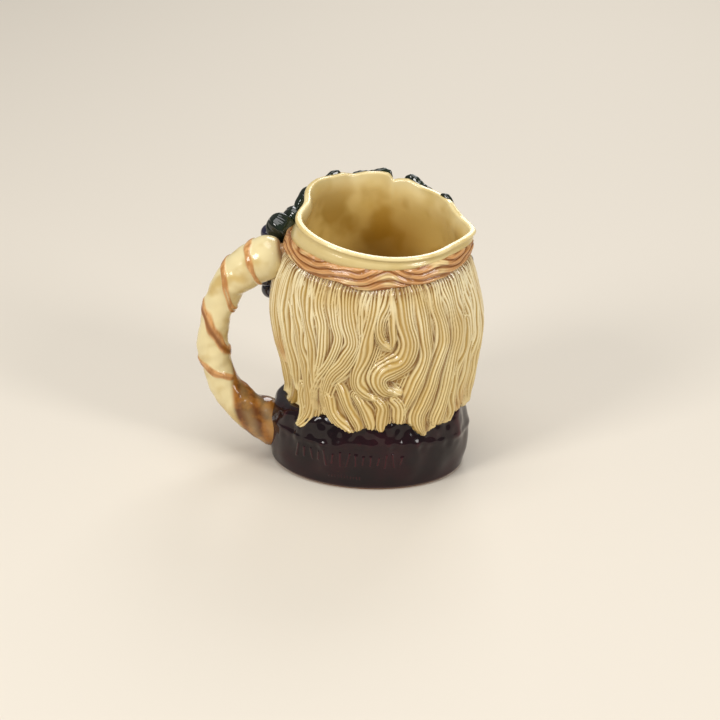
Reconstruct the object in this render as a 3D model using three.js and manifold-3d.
// A glazed earthenware jug cast as a bearded head, its foot the collar of a robe. Millimetres, +Z up.
// The origin is the middle of the foot on the ground. The face looks along -Y, the handle is on the +X side
// and the pouring lip on the -X side. Angles go round the jug from the face: 90 is the handle, 180 the back
// and -90 the lip.
import * as THREE from 'three';
import { mergeVertices } from 'three/addons/utils/BufferGeometryUtils.js';
import Module from 'manifold-3d';

const wasm = await Module();
wasm.setup();

const DEG = Math.PI / 180;
const { clamp, lerp, smoothstep } = THREE.MathUtils;

// The cast body: how far it reaches from the axis, at each height
const OUTLINE = [
  { z: 0, handle: 59.5, spout: 59.5, back: 49.5, front: 56 },
  { z: 3, handle: 61, spout: 60.5, back: 50.5, front: 57.5 },
  { z: 20, handle: 61.5, spout: 62, back: 51, front: 59 },
  { z: 32, handle: 59.5, spout: 61.5, back: 50, front: 60 },
  { z: 44, handle: 50.5, spout: 59.5, back: 48.5, front: 62 },
  { z: 62, handle: 51.5, spout: 61, back: 48.5, front: 64 },
  { z: 82, handle: 57, spout: 63.2, back: 49, front: 64 },
  { z: 102, handle: 60, spout: 64, back: 50, front: 63 },
  { z: 120, handle: 59.5, spout: 61.2, back: 50.5, front: 62 },
  { z: 132, handle: 57, spout: 58.5, back: 49.7, front: 60.5 },
  { z: 142, handle: 54.5, spout: 55.5, back: 48, front: 59.5 },
  { z: 154, handle: 52, spout: 52.5, back: 46.5, front: 58.5 },
  { z: 176, handle: 51, spout: 51.5, back: 46, front: 58 },
];
const WALL = 4.5; // thickness of the cast wall behind and at the sides, under the hair
const EYE_WALL = 9; // it is thicker behind the sockets of the eyes
const FLOOR = 7; // height of the inside's floor over the ground

// The rim lies in one plane that rises towards the face and the handle
const RIM_HEIGHT = 162;
const RIM_RISE_FRONT = 8;
const RIM_RISE_HANDLE = 4.5;
const LIP_HEIGHT = 5.2;
const LIP_OUT = 1.8;
// The wreath presses the rim in at the handle's temple, and makes its edge wave over the brow
const DENT = { angle: 80, width: 20, depth: 7.2, from: 146 };
const RIM_WAVE = [
  [-75, 0], [-60, 2], [-45, 1], [-31, -0.6], [-20, 1], [-13, -0.8], [-10, -2.2], [-7, 1.6], [-2, 1.8],
  [8, 0.8], [15.5, -0.8], [23, 0.7], [32, 0.1], [44, 1], [60, 0],
];

// The pouring lip
const SPOUT_ANGLE = -92;
const SPOUT_HALF_ANGLE = 27;
const SPOUT_REACH = 7.2;
const SPOUT_ROUND = 0.14; // how blunt the lip's tip is
const SPOUT_FROM = 138;

// The twisted headband, and the lower edge of the hair over the collar
const BAND_BOTTOM = 133.5;
const BAND_TOP = 146;
const BAND_RISE = 7; // how much higher it is at the temples than behind
const BAND_OUT = 2.4;
const HEM_HEIGHT = 40;
const HEM_FRONT_DROP = 13; // the beard hangs lower than the hair behind
const TIPS_ROUND = 25; // tips of hair and beard all round
const TIP_DEPTH = 6;
const HAIR_OUT = 4.9; // how far the hair stands over the body
const TIPS_OUT = 0.6; // how much further it stands over the collar at its tips

// Locks of hair and beard
const LOCKS_ROUND = 22;
const LOCK_RELIEF = 2.8;
const BEARD_LOCK_PITCH = 14;
const BEARD_OUT = 6;

// The face: heights of its features, and how far they stand out
const BROW_HEIGHT = 124;
const EYE_HEIGHT = 113;
const EYE_SPACING = 40; // from the middle of one eye to the other
const EYE_WIDTH = 22;
const NOSE_TIP_HEIGHT = 93;
const NOSE_OUT = 19;
const MOUTH_HEIGHT = 74;
const LOWER_LIP_HEIGHT = 70;
const FACE_HALF_ANGLE = 46;
const FACE_RADIUS = 60; // millimetres round the face for each radian

// The handle: the middle of its bent branch in the plane y = 0, with its thickness there
const HANDLE_PATH = [
  { x: 51, z: 137, thick: 26 },
  { x: 64, z: 133.5, thick: 28 },
  { x: 77, z: 127, thick: 26.5 },
  { x: 88, z: 116.5, thick: 23 },
  { x: 95, z: 102.5, thick: 20 },
  { x: 98.6, z: 88, thick: 19.4 },
  { x: 99.6, z: 74, thick: 21 },
  { x: 96.8, z: 60, thick: 19.6 },
  { x: 91.4, z: 46, thick: 20 },
  { x: 82.5, z: 34.5, thick: 22.5 },
  { x: 71, z: 26, thick: 26 },
  { x: 60, z: 20.5, thick: 28 },
  { x: 50, z: 18, thick: 28 },
];
const HANDLE_STEPS = 32;
const HANDLE_SIDES = 14;
const VINE_TURNS = 2.6; // the vine's turns round the handle
const VINE_OUT = 1.3;

// The wreath's leaves. Each is seated on the body at an angle and a height, with its middle out from the
// wall and its lower edge tipped outwards by the tilt. Its tip points down, turned by the turn given.
const LEAVES = [
  { angle: 3, z: 159, size: 18.5, turn: 8, out: 1.5, tilt: 0 },
  { angle: -25, z: 157, size: 17.5, turn: -28, out: 1.5, tilt: 0 },
  { angle: 31, z: 158, size: 18, turn: 32, out: 1.5, tilt: 0 },
  { angle: -52, z: 153, size: 16, turn: -45, out: 1.5, tilt: 4 },
  { angle: 74, z: 147, size: 10.5, turn: 25, out: 13.5, tilt: 20 },
  { angle: 63, z: 150, size: 11.5, turn: -15, out: 8, tilt: 18 },
  { angle: 53, z: 158, size: 12.5, turn: 50, out: 4, tilt: 6 },
  { angle: 55, z: 142, size: 13.5, turn: -25, out: 8, tilt: 22 },
  { angle: 41, z: 163, size: 9.5, turn: 20, out: 3.5, tilt: 0 },
];
const LEAF_THICKNESS = 4;
const LEAF_DOME = 2.6; // how far its edge curls back from its middle
const LEAF_POINTS = 18;
const LEAF_ROOT = 5; // how deep a leaf is set into the wall
const SMALL_LEAF = 14; // leaves smaller than this are rounded pads that stay wide down to the wall

// A bunch of grapes at each temple, in rows that grow shorter downwards
const BUNCHES = [
  { angle: 68, z: 138, radius: 6, out: 13.5, rows: [2, 3, 3, 2, 1] },
  { angle: -58, z: 134, radius: 5.4, out: 2, rows: [2, 3, 2, 1] },
];
const GRAPE_PITCH = 5.2; // degrees round the body for each grape's radius

// How the skin is sampled
const FRONT_STEP = 3.9;
const BACK_STEP = 6.9;
const CAVITY_SIDES = 36;
const SHORTEST_EDGE = 0.12;

const radians = (angle) => angle * DEG;
const hill = (distance, width) => Math.exp(-((distance / width) ** 2));
const aside = (x, distance) => Math.abs(x) - distance;
const turned = (angle) => THREE.MathUtils.euclideanModulo(angle + 180, 360) - 180;

// A smooth curve through the outline's stations
function outlineAt(z, side) {
  const rows = OUTLINE;
  const height = clamp(z, rows[0].z, rows.at(-1).z);
  let i = 1;
  while (i < rows.length - 1 && rows[i].z < height) i += 1;
  const slope = (k) => {
    const before = rows[Math.max(k - 1, 0)];
    const after = rows[Math.min(k + 1, rows.length - 1)];
    return (after[side] - before[side]) / (after.z - before.z);
  };
  const span = rows[i].z - rows[i - 1].z;
  const t = (height - rows[i - 1].z) / span;
  const bend = t * t * (3 - 2 * t);
  const start = t * (1 - t) * (1 - t) * slope(i - 1);
  const end = t * t * (t - 1) * slope(i);
  return lerp(rows[i - 1][side], rows[i][side], bend) + span * (start + end);
}

// Straight lines between the rows of a table of pairs, and its end values beyond them
function between(rows, at) {
  const next = rows.findIndex(([place]) => place > at);
  if (next === 0) return rows[0][1];
  if (next < 0) return rows.at(-1)[1];
  const [[from, low], [to, high]] = [rows[next - 1], rows[next]];
  return lerp(low, high, (at - from) / (to - from));
}

// Distance from the axis of the plain body, whose sections are four quarter ovals
function bodyRadius(angle, z) {
  const across = Math.sin(radians(angle));
  const along = Math.cos(radians(angle));
  const halfWidth = outlineAt(z, across > 0 ? 'handle' : 'spout');
  const halfDepth = outlineAt(z, along > 0 ? 'front' : 'back');
  return 1 / Math.hypot(across / halfWidth, along / halfDepth);
}

function rimHeight(angle) {
  const turn = radians(angle);
  const plane = RIM_HEIGHT + RIM_RISE_FRONT * Math.cos(turn) + RIM_RISE_HANDLE * Math.sin(turn);
  return plane + between(RIM_WAVE, turned(angle));
}

// How far the pouring lip reaches out past the body, and the dent at the temple in from it
function spoutReach(angle, z) {
  const away = Math.hypot(turned(angle - SPOUT_ANGLE) / SPOUT_HALF_ANGLE, SPOUT_ROUND);
  const share = Math.max(1 - away, 0) / (1 - SPOUT_ROUND);
  const dent = DENT.depth * hill(turned(angle - DENT.angle), DENT.width) * smoothstep(z, DENT.from, RIM_HEIGHT);
  return SPOUT_REACH * share ** 1.5 * smoothstep(z, SPOUT_FROM, rimHeight(angle)) - dent;
}

const bandRise = (angle) => BAND_RISE * Math.sin(radians(angle)) ** 2;
const bandBottom = (angle) => BAND_BOTTOM + bandRise(angle) + 8 * frontness(angle);
const bandTop = (angle) => BAND_TOP + 0.6 * bandRise(angle) + 12 * frontness(angle);

// 1 at the face, fading to 0 at the temples
function frontness(angle) {
  return 1 - smoothstep(Math.abs(turned(angle)), FACE_HALF_ANGLE, FACE_HALF_ANGLE + 20);
}

function hemHeight(angle) {
  const drop = HEM_FRONT_DROP * (0.5 + 0.5 * Math.cos(radians(angle))) ** 2;
  const gap = Math.abs(Math.sin((TIPS_ROUND / 2) * radians(angle)));
  return HEM_HEIGHT - drop - TIP_DEPTH * (1 - gap);
}

// Locks that start straight under the band and swing more and more from side to side further down
function hairRelief(angle, z) {
  const round = radians(angle);
  const fallen = clamp((BAND_BOTTOM - z) / 95, 0, 1);
  const swing = fallen * (2.6 * Math.sin(z / 11 + 3 * round) + 1.2 * Math.sin(z / 5.5 - 2 * round));
  const wave = Math.cos(LOCKS_ROUND * round + swing);
  const lobes = 0.8 * fallen * Math.sin(z / 6.5 + 5 * round);
  return LOCK_RELIEF * (0.25 + 0.45 * fallen) * wave + lobes;
}

// Locks that part from the middle of the chin and hang in slow waves
function beardRelief(x, z) {
  const out = Math.abs(x);
  const pitch = BEARD_LOCK_PITCH + 0.05 * (90 - z);
  const wave = Math.cos((2 * Math.PI * out) / pitch + 1.3 * Math.sin(z / 10 + out / 18));
  return BEARD_OUT + LOCK_RELIEF * 0.7 * wave + 1.2 * Math.sin(z / 7 + out / 9);
}

function eyes(x, z) {
  const across = aside(x, EYE_SPACING / 2);
  const socket = -8 * hill(across, EYE_WIDTH * 0.62) * hill(z - EYE_HEIGHT, 9.5);
  const ball = 8 * hill(across, EYE_WIDTH * 0.4) * hill(z - EYE_HEIGHT + 1, 5.5);
  const browHeight = BROW_HEIGHT + 2 - 0.012 * across * across;
  const brow = 5 * hill(across - 2, EYE_WIDTH * 0.75) * hill(z - browHeight, 5.5);
  return socket + ball + brow;
}

function nose(x, z) {
  const down = clamp((BROW_HEIGHT - z) / (BROW_HEIGHT - NOSE_TIP_HEIGHT), 0, 1);
  const under = 1 - smoothstep(NOSE_TIP_HEIGHT - z, 0, 7);
  const width = lerp(8, 11.5, down);
  const ridge = lerp(4, NOSE_OUT, down ** 1.25) * under * Math.exp(-(Math.abs(x / width) ** 2.4));
  const wings = 5 * hill(aside(x, 10.5), 5) * hill(z - NOSE_TIP_HEIGHT - 0.5, 5.5);
  return ridge * (z > BROW_HEIGHT ? hill(z - BROW_HEIGHT, 9) : 1) + wings;
}

function mouth(x, z) {
  const parting = -3 * hill(x, 13) * hill(z - MOUTH_HEIGHT, 4);
  const lower = 5 * hill(x, 12) * hill(z - LOWER_LIP_HEIGHT, 4.5);
  return parting + lower;
}

// Two swept locks that meet under the nose and end in a point on each cheek
function moustache(x, z) {
  const out = Math.abs(x);
  const middle = 83 - 0.00042 * out ** 3;
  const half = 8 * (1 - smoothstep(out, 18, 42)) + 2;
  return 10 * hill(z - middle, half) * (1 - 0.3 * smoothstep(out, 20, 42)) * (1 - 0.3 * hill(out, 4));
}

function faceRelief(x, z) {
  const cheek = 5 * hill(aside(x, 28), 12) * hill(z - 97, 11);
  const skin = eyes(x, z) + nose(x, z) + cheek + mouth(x, z);
  const beardEdge = 62 + 0.02 * x * x;
  const bearded = 1 - smoothstep(z, beardEdge - 6, beardEdge + 3);
  return Math.max(lerp(skin, beardRelief(x, z), bearded), moustache(x, z));
}

// Soft folds of the robe's collar
function collarRelief(angle, z) {
  const round = radians(angle);
  const folds = 0.7 * Math.sin(7 * round + z / 14) * smoothstep(z, 4, 14);
  return folds + 0.9 * hill(z - 33 + 3 * Math.sin(3 * round), 4);
}

// Distance from the axis of the finished outside of the body
function skinRadius(angle, z, zone) {
  const body = bodyRadius(angle, z) + spoutReach(angle, z);
  const front = frontness(angle);
  if (zone === 'collar') return body + collarRelief(angle, z);
  if (zone === 'band') {
    return body + BAND_OUT + 0.5 * Math.sin(12 * radians(angle) + z / 2.4);
  }
  if (zone === 'lip') return body + LIP_OUT;
  if (zone === 'neck') return body;
  const x = FACE_RADIUS * radians(turned(angle));
  const tips = TIPS_OUT * (1 - smoothstep(z, HEM_HEIGHT, HEM_HEIGHT + 30));
  const full = HAIR_OUT * smoothstep(bandBottom(angle) - z, -4, 18);
  const hair = hairRelief(angle, z) + tips + full;
  return body + lerp(hair, faceRelief(x, z), front);
}

// The heights of the skin's rows at an angle, each with the zone that it belongs to
function skinRows(angle) {
  const rim = rimHeight(angle);
  const ledge = 0.7; // half the height of the step from one zone to the next
  const rows = [{ z: 0, zone: 'collar' }];
  const fill = (zone, from, to, count) => {
    for (let i = 0; i <= count; i += 1) rows.push({ z: lerp(from, to, i / count), zone });
  };
  fill('collar', 2.5, hemHeight(angle) - ledge, 4);
  fill('hair', hemHeight(angle) + ledge, bandBottom(angle) - ledge, 21);
  fill('band', bandBottom(angle) + ledge, bandTop(angle) - ledge, 2);
  fill('neck', bandTop(angle) + ledge, rim - LIP_HEIGHT - ledge, 1);
  fill('lip', rim - LIP_HEIGHT, rim - 1.2, 1);
  return rows;
}

function onAxis(radius, angle, z) {
  return [radius * Math.sin(radians(angle)), -radius * Math.cos(radians(angle)), z];
}

// A closed skin over rings of the same number of points, with a fan over each end
function skinOver(rings, first, last) {
  const sides = rings[0].length;
  const points = [first, ...rings.flat(), last];
  const faces = [];
  for (let i = 0; i < sides; i += 1) {
    const next = (i + 1) % sides;
    faces.push(0, 1 + next, 1 + i);
    for (let row = 0; row < rings.length - 1; row += 1) {
      const low = 1 + row * sides;
      const high = low + sides;
      faces.push(low + i, low + next, high + i, low + next, high + next, high + i);
    }
    const top = 1 + (rings.length - 1) * sides;
    faces.push(points.length - 1, top + i, top + next);
  }
  return solidOf(points, faces);
}

function solidOf(points, faces) {
  return new wasm.Manifold(new wasm.Mesh({
    numProp: 3,
    vertProperties: new Float32Array(points.flat()),
    triVerts: new Uint32Array(faces),
  }));
}

function solidOfGeometry(geometry) {
  const bare = geometry.clone();
  bare.deleteAttribute('normal');
  bare.deleteAttribute('uv');
  const merged = mergeVertices(bare, 1e-4);
  const index = merged.index.array;
  return new wasm.Manifold(new wasm.Mesh({
    numProp: 3,
    vertProperties: new Float32Array(merged.attributes.position.array),
    triVerts: new Uint32Array(index),
  }));
}

// Angles round the body, closer together over the face
function bodyAngles() {
  const angles = [];
  let angle = -180;
  while (angle < 180) {
    angles.push(angle);
    angle += Math.abs(angle) < FACE_HALF_ANGLE + 10 ? FRONT_STEP : BACK_STEP;
  }
  return angles;
}

function makeBody() {
  const angles = bodyAngles();
  const columns = angles.map((angle) => skinRows(angle).map(({ z, zone }) => (
    onAxis(skinRadius(angle, z, zone), angle, z))));
  const rings = columns[0].map((_, row) => columns.map((column) => column[row]));
  const lipTop = (inset) => angles.map((angle) => (
    onAxis(skinRadius(angle, rimHeight(angle), 'lip') - inset, angle, rimHeight(angle))));
  rings.push(lipTop(1), lipTop(2 * WALL));
  return skinOver(rings, [0, 0, 0], [0, 0, RIM_HEIGHT]);
}

// The hollow inside follows the plain body, with the wall's thickness between
function insideRadius(angle, z) {
  const flare = LIP_OUT * smoothstep(z, rimHeight(angle) - 9, rimHeight(angle));
  const eyes = smoothstep(Math.cos(radians(angle)), 0.2, 0.8) * hill(z - EYE_HEIGHT, 20);
  const wall = WALL + 2 * (1 - smoothstep(z, 20, 60)) + (EYE_WALL - WALL) * eyes;
  return bodyRadius(angle, z) + spoutReach(angle, z) + flare - wall;
}

function makeCavity() {
  const angles = Array.from({ length: CAVITY_SIDES }, (_, i) => -180 + (360 / CAVITY_SIDES) * (i + 0.4));
  const ring = (height, share) => angles.map((angle) => {
    const z = typeof height === 'function' ? height(angle) : height;
    return onAxis(insideRadius(angle, z) * share, angle, z);
  });
  const rings = [ring(FLOOR + 0.5, 0.62), ring(FLOOR + 4, 0.86), ring(FLOOR + 13, 1)];
  for (const z of [45, 66, 88, 106, 122, 138]) rings.push(ring(z, 1));
  rings.push(ring((angle) => rimHeight(angle) - 6, 1), ring((angle) => rimHeight(angle) - 1.5, 1));
  rings.push(ring((angle) => rimHeight(angle) + 1.5, 1.03));
  return skinOver(rings, [0, 0, FLOOR], [0, 0, RIM_HEIGHT + 20]);
}

// The bent branch, with a vine wound round it and a thick root on the collar
function makeHandle() {
  const path = new THREE.CatmullRomCurve3(HANDLE_PATH.map(({ x, z }) => new THREE.Vector3(x, 0, z)));
  const rings = [];
  for (let i = 0; i <= HANDLE_STEPS; i += 1) {
    const t = i / HANDLE_STEPS;
    const middle = path.getPoint(t);
    const ahead = path.getTangent(t);
    const outward = new THREE.Vector3(-ahead.z, 0, ahead.x);
    const k = Math.min(Math.floor(t * (HANDLE_PATH.length - 1)), HANDLE_PATH.length - 2);
    const thick = lerp(HANDLE_PATH[k].thick, HANDLE_PATH[k + 1].thick, t * (HANDLE_PATH.length - 1) - k);
    const deep = thick * (1 + 0.16 * smoothstep(t, 0.85, 1));
    const ring = [];
    for (let side = 0; side < HANDLE_SIDES; side += 1) {
      const turn = (-2 * Math.PI * side) / HANDLE_SIDES;
      const wound = turned((turn / DEG) + 360 * VINE_TURNS * t) / 60;
      const vine = VINE_OUT * hill(wound, 0.6) * smoothstep(t, 0.1, 0.2);
      const point = middle.clone()
        .addScaledVector(outward, (thick / 2 + vine) * Math.cos(turn))
        .addScaledVector(new THREE.Vector3(0, 1, 0), (deep / 2 + vine) * Math.sin(turn));
      ring.push(point.toArray());
    }
    rings.push(ring);
  }
  return skinOver(rings, path.getPoint(0).toArray(), path.getPoint(1).toArray());
}

// Where something set on the body sits, with its axes: across, up along the wall, and out
function seatOn(angle, z, out) {
  const at = (a, height) => new THREE.Vector3(...onAxis(bodyRadius(a, height), a, height));
  const across = at(angle + 2, z).sub(at(angle - 2, z)).normalize();
  const up = at(angle, z + 2).sub(at(angle, z - 2)).normalize();
  const outward = new THREE.Vector3().crossVectors(across, up).normalize();
  const seat = new THREE.Matrix4().makeBasis(across, up, outward);
  return seat.setPosition(at(angle, z).addScaledVector(outward, out));
}

// A vine leaf of five lobes, domed, with its tip pointing down before it is turned
function makeLeaf({ angle, z, size, turn, out, tilt }) {
  const edge = (share, height) => Array.from({ length: LEAF_POINTS }, (_, i) => {
    const a = (2 * Math.PI * i) / LEAF_POINTS;
    const reach = size * (0.84 + 0.16 * Math.cos(5 * a)) * (1 - 0.18 * hill(Math.abs(a) - Math.PI, 0.5));
    const far = share * reach;
    return [far * Math.sin(a), -far * Math.cos(a), height - LEAF_DOME * (far / size) ** 2];
  });
  const root = -LEAF_ROOT - out;
  const foot = size < SMALL_LEAF ? 0.85 : 0.6;
  const rings = [edge(foot, root), edge(1, LEAF_THICKNESS * 0.35), edge(0.9, LEAF_THICKNESS * 0.85)];
  const tipped = new THREE.Matrix4().makeRotationX(-radians(tilt));
  const place = seatOn(angle, z, out).multiply(tipped)
    .multiply(new THREE.Matrix4().makeRotationZ(-radians(turn)));
  const move = (point) => new THREE.Vector3(...point).applyMatrix4(place).toArray();
  const leafRings = rings.map((ring) => ring.map(move));
  return skinOver(leafRings, move([0, 0, root]), move([0, 0, LEAF_THICKNESS * 0.85]));
}

function makeGrape(radius, place) {
  return solidOfGeometry(new THREE.SphereGeometry(radius, 7, 5).applyMatrix4(place));
}

// Grapes on a core that joins them to the wall
function makeBunch({ angle, z, radius, out, rows }) {
  const grapes = [];
  rows.forEach((count, row) => {
    for (let i = 0; i < count; i += 1) {
      const across = (i - (count - 1) / 2) * 1.75;
      const down = row * radius * 1.5;
      const place = seatOn(angle + across * GRAPE_PITCH, z - down, out - 0.16 * row * radius);
      grapes.push(makeGrape(radius, place));
    }
  });
  const core = new THREE.SphereGeometry(1, 8, 5);
  const length = rows.length * radius * 0.75;
  const middle = seatOn(angle, z - length + radius, (out - radius) / 2);
  core.scale(radius * 2.1, length, (out + radius) / 2).applyMatrix4(middle);
  return wasm.Manifold.union([solidOfGeometry(core), ...grapes]);
}

// The solid's triangles, with edges shorter than the shortest allowed closed up to a point
function geometryOf(solid) {
  const { vertProperties, triVerts } = solid.getMesh();
  const points = new THREE.BufferAttribute(vertProperties, 3);
  const place = (i) => new THREE.Vector3().fromBufferAttribute(points, i);
  const joined = Array.from({ length: points.count }, (_, i) => i);
  const root = (i) => (joined[i] === i ? i : root(joined[i]));
  let changed = true;
  while (changed) {
    changed = false;
    triVerts.forEach((start, i) => {
      const a = root(start);
      const b = root(triVerts[i % 3 === 2 ? i - 2 : i + 1]);
      if (a === b || place(a).distanceTo(place(b)) > SHORTEST_EDGE) return;
      joined[Math.max(a, b)] = Math.min(a, b);
      changed = true;
    });
  }
  const faces = new Map();
  for (let i = 0; i < triVerts.length; i += 3) {
    const face = [root(triVerts[i]), root(triVerts[i + 1]), root(triVerts[i + 2])];
    const key = [...face].sort((a, b) => a - b).join();
    if (new Set(face).size < 3) continue;
    if (!faces.delete(key)) faces.set(key, face); // two faces on the same corners lie back to back
  }
  const geometry = new THREE.BufferGeometry();
  geometry.setAttribute('position', points);
  geometry.setIndex(largestGroup([...faces.values()]).flat());
  return geometry;
}

// The faces of the largest skin, where skins that only touch along an edge count apart
function largestGroup(faces) {
  const edges = new Map();
  faces.forEach((face, i) => face.forEach((corner, k) => {
    const key = [corner, face[(k + 1) % 3]].sort((a, b) => a - b).join();
    edges.set(key, [...(edges.get(key) ?? []), i]);
  }));
  const group = faces.map((_, i) => i);
  const root = (i) => {
    let at = i;
    while (group[at] !== at) at = group[at];
    return at;
  };
  for (const sharing of edges.values()) {
    if (sharing.length === 2) group[root(sharing[0])] = root(sharing[1]);
  }
  const sizes = new Map();
  faces.forEach((_, i) => sizes.set(root(i), (sizes.get(root(i)) ?? 0) + 1));
  const [largest] = [...sizes].reduce((best, entry) => (entry[1] > best[1] ? entry : best));
  return faces.filter((_, i) => root(i) === largest);
}

// The largest closed skin alone, which fills the pockets left between grapes, leaves and wall
function largestSkin(solid) {
  return solid.decompose().reduce((best, skin) => (skin.volume() > best.volume() ? skin : best));
}

function makeJug() {
  const raised = [makeBody(), makeHandle(), ...LEAVES.map(makeLeaf), ...BUNCHES.map(makeBunch)];
  const jug = largestSkin(wasm.Manifold.union(raised).subtract(makeCavity()));
  const glaze = new THREE.MeshStandardMaterial({ color: 0xd8c690, roughness: 0.2, metalness: 0 });
  const mesh = new THREE.Mesh(geometryOf(jug), glaze);
  mesh.name = 'jug';
  return mesh;
}

const group = new THREE.Group();
group.add(makeJug());
export default group;
